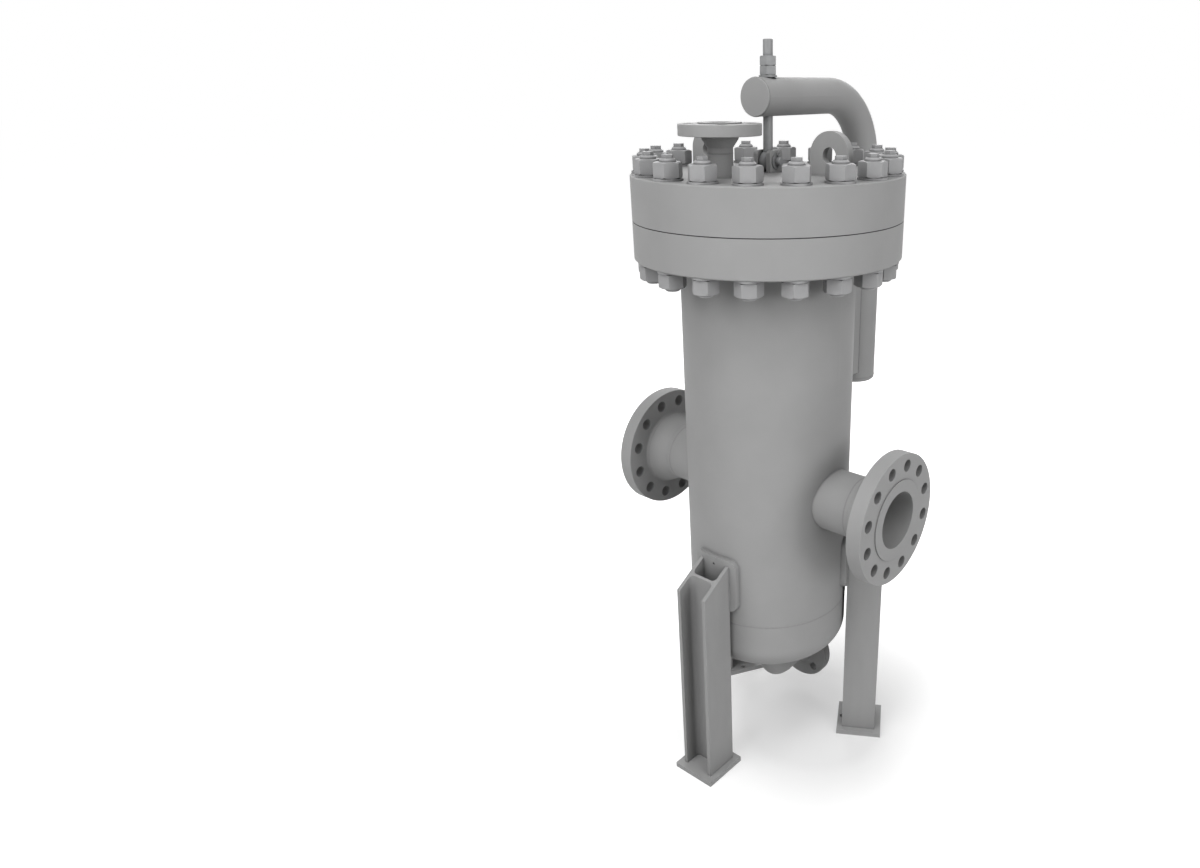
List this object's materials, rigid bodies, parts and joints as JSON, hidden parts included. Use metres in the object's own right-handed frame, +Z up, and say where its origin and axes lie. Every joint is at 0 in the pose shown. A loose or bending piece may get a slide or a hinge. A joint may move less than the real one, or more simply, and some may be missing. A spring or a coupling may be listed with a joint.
{
  "type": "cylinder sieve filter",
  "caption": "Upright pressure vessel on legs with a bolted cover, davit and jack screw, facing nozzles, vent, drain and a lift-out wedge-wire sieve basket.",
  "frame": {"origin": "on the floor under the vessel's axis, at the centre of the anchor holes' circle", "axes": "+Z up along the vessel, +X towards the inlet nozzle, +Y towards the davit post; the vent is at -Y"},
  "size_m": [0.85, 0.85, 1.9729],
  "materials": {
    "grey_paint": "satin grey paint on steel",
    "stud_steel": "dull coated fasteners",
    "zinc_steel": "zinc-plated, turned",
    "stainless_steel": "pickled stainless",
    "spring_steel": "cold-wound spring wire",
    "gasket_fibre": "pressed graphite fibre",
    "seal_rubber": "black flat seal"
  },
  "bodies": {
    "housing": {"shell": "grey_paint", "bottom_head": "grey_paint", "body_flange": "grey_paint", "cover_gasket": "gasket_fibre", "inlet_pipe": "grey_paint", "inlet_flange": "grey_paint", "outlet_pipe": "grey_paint", "outlet_flange": "grey_paint", "outlet_riser": "stainless_steel", "sieve_seat": "stainless_steel", "drain_elbow": "grey_paint", "drain_flange": "grey_paint", "davit_socket": "grey_paint", "socket_floor": "grey_paint", "davit_brackets": "grey_paint", "leg_front": "grey_paint", "leg_right": "grey_paint", "leg_left": "grey_paint", "foot_front": "grey_paint", "foot_right": "grey_paint", "foot_left": "grey_paint", "pad_front": "grey_paint", "pad_right": "grey_paint", "pad_left": "grey_paint", "stud_bolts": "stud_steel", "lower_nuts": "stud_steel", "lower_washers": "stud_steel"},
    "cover": {"cover_plate": "grey_paint", "vent_pipe": "grey_paint", "vent_flange": "grey_paint", "lug_right": "grey_paint", "lug_left": "grey_paint", "clevis_ears": "grey_paint", "clevis_pin": "zinc_steel", "clevis_washer": "zinc_steel", "split_pin": "zinc_steel", "eye_bolt": "zinc_steel"},
    "cover_nuts": {"upper_nuts": "stud_steel", "upper_washers": "stud_steel"},
    "davit": {"davit_arm": "grey_paint", "arm_end_cap": "grey_paint", "jack_washer": "zinc_steel"},
    "jack_nuts": {"jack_nut": "zinc_steel", "lock_nut": "zinc_steel"},
    "basket": {"sieve_seal": "seal_rubber", "sieve_base": "stainless_steel", "sieve_rods": "stainless_steel", "sieve_wires": "stainless_steel", "sieve_top": "stainless_steel", "spring_cup": "stainless_steel", "hold_down_spring": "spring_steel", "handle_ears": "stainless_steel"},
    "front_handle": {"handle_front": "stainless_steel"},
    "rear_handle": {"handle_rear": "stainless_steel"}
  },
  "joints": [
    {"name": "davit_lift", "type": "slide", "parent": "housing", "child": "davit", "axis": [0, 0, 1], "range_m": [0, 0.8]},
    {"name": "cover_jack", "type": "slide", "parent": "davit", "child": "cover", "axis": [0, 0, 1], "range_m": [0, 0.01]},
    {"name": "jack_turn", "type": "hinge", "parent": "davit", "child": "jack_nuts", "pos_m": [0, 0, 1.91495], "axis": [0, 0, 1], "range_deg": [-1201, 0]},
    {"name": "nuts_off", "type": "slide", "parent": "cover", "child": "cover_nuts", "axis": [0, 0, 1], "range_m": [0, 0.06]},
    {"name": "basket_lift", "type": "slide", "parent": "housing", "child": "basket", "axis": [0, 0, 1], "range_m": [0, 0.5765]},
    {"name": "front_handle_turn", "type": "hinge", "parent": "basket", "child": "front_handle", "pos_m": [0, -0.062, 1.465], "axis": [-1, 0, 0], "range_deg": [0, 90]},
    {"name": "rear_handle_turn", "type": "hinge", "parent": "basket", "child": "rear_handle", "pos_m": [0, 0.062, 1.465], "axis": [1, 0, 0], "range_deg": [0, 90]}
  ],
  "couplings": [
    {"joint": "jack_turn", "follows": "cover_jack", "rad_per_m": -2094.4},
    {"joint": "basket_lift", "follows": "davit_lift", "ratio": 0.72}
  ]
}
